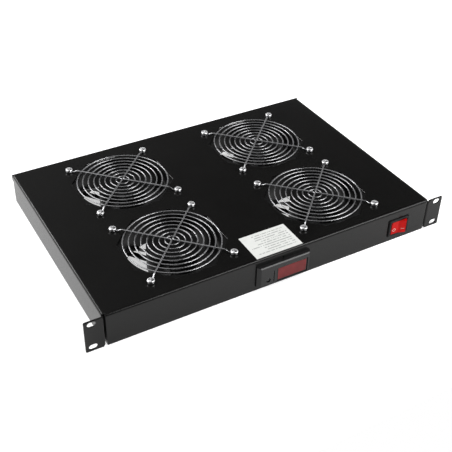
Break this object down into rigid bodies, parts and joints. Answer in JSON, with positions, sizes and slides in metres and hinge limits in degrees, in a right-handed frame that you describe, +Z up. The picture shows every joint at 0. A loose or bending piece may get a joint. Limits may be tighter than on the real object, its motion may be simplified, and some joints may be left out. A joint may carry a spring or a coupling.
{
  "type": "rack fan tray",
  "caption": "Shallow rack-mount fan tray: folded black steel tray with guarded fans under its top plate, slotted ears, a digital thermostat and a red rocker switch in front.",
  "frame": {"origin": "centre of the four rack slots, on the front face of the ears", "axes": "+X to the right seen from the front, +Y from the front panel to the back, +Z up"},
  "size_m": [0.4826, 0.3063, 0.0488],
  "materials": {
    "bearing_bronze": "sintered",
    "black_powder_coat": "fine-textured semi-gloss black powder coat",
    "board_green": "lacquered circuit board",
    "bright_steel": "ground",
    "chrome_wire": "bright plated wire",
    "display_dark": "dark display face",
    "fan_frame_black": "painted die-cast frame, satin",
    "impeller_black": "moulded, satin",
    "lead_dark": "insulated lead",
    "lead_green": "insulated lead",
    "moulded_black": "moulded, satin",
    "nylon_white": "natural nylon",
    "rocker_red": "translucent red moulding",
    "screw_chrome": "bright plated",
    "sticker_white": "matt film",
    "terminal_brass": "plated",
    "winding_steel": "laminations with varnished windings",
    "window_red": "tinted clear lens"
  },
  "bodies": {
    "tray": {"chassis": "black_powder_coat", "controller_board": "board_green", "controller_case": "moulded_black", "controller_clips": "moulded_black", "controller_display": "display_dark", "controller_terminals": "moulded_black", "controller_window": "window_red", "earth_lead": "lead_green", "earth_stud": "bright_steel", "fan_frame_front_left": "fan_frame_black", "fan_frame_front_right": "fan_frame_black", "fan_frame_rear_left": "fan_frame_black", "fan_frame_rear_right": "fan_frame_black", "fan_leads": "lead_dark", "finger_guard_front_left": "chrome_wire", "finger_guard_front_right": "chrome_wire", "finger_guard_rear_left": "chrome_wire", "finger_guard_rear_right": "chrome_wire", "guard_screws": "screw_chrome", "inlet_body": "moulded_black", "inlet_bracket": "black_powder_coat", "inlet_pins": "terminal_brass", "mains_leads": "lead_dark", "rating_sticker": "sticker_white", "sensor_clip": "nylon_white", "sensor_lead": "lead_dark", "sensor_probe": "bright_steel", "sleeve_bearing_front_left": "bearing_bronze", "sleeve_bearing_front_right": "bearing_bronze", "sleeve_bearing_rear_left": "bearing_bronze", "sleeve_bearing_rear_right": "bearing_bronze", "stator_front_left": "winding_steel", "stator_front_right": "winding_steel", "stator_rear_left": "winding_steel", "stator_rear_right": "winding_steel", "supply_leads": "lead_dark", "switch_housing": "moulded_black", "switch_terminals": "terminal_brass", "switched_leads": "lead_dark", "terminal_block": "nylon_white"},
    "rotor_front_left": {"impeller_front_left": "impeller_black", "motor_shaft_front_left": "bright_steel"},
    "rotor_front_right": {"impeller_front_right": "impeller_black", "motor_shaft_front_right": "bright_steel"},
    "rotor_rear_left": {"impeller_rear_left": "impeller_black", "motor_shaft_rear_left": "bright_steel"},
    "rotor_rear_right": {"impeller_rear_right": "impeller_black", "motor_shaft_rear_right": "bright_steel"},
    "rocker": {"switch_rocker": "rocker_red"},
    "set_button": {"controller_button": "moulded_black"}
  },
  "joints": [
    {"name": "fan_spin_front_left", "type": "hinge", "parent": "tray", "child": "rotor_front_left", "pos_m": [-0.1, 0.0765, 0], "axis": [0, 0, 1], "continuous": true},
    {"name": "fan_spin_front_right", "type": "hinge", "parent": "tray", "child": "rotor_front_right", "pos_m": [0.1, 0.0765, 0], "axis": [0, 0, 1], "continuous": true},
    {"name": "fan_spin_rear_left", "type": "hinge", "parent": "tray", "child": "rotor_rear_left", "pos_m": [-0.1, 0.2175, 0], "axis": [0, 0, 1], "continuous": true},
    {"name": "fan_spin_rear_right", "type": "hinge", "parent": "tray", "child": "rotor_rear_right", "pos_m": [0.1, 0.2175, 0], "axis": [0, 0, 1], "continuous": true},
    {"name": "rocker_tilt", "type": "hinge", "parent": "tray", "child": "rocker", "pos_m": [0.1741, 0.003, -0.0018], "axis": [0, 0, 1], "range_deg": [0, 22]},
    {"name": "set_press", "type": "slide", "parent": "tray", "child": "set_button", "axis": [0, 1, 0], "range_m": [0, 0.0008], "stiffness_N_per_m": 1500, "springref_m": -0.0004}
  ]
}
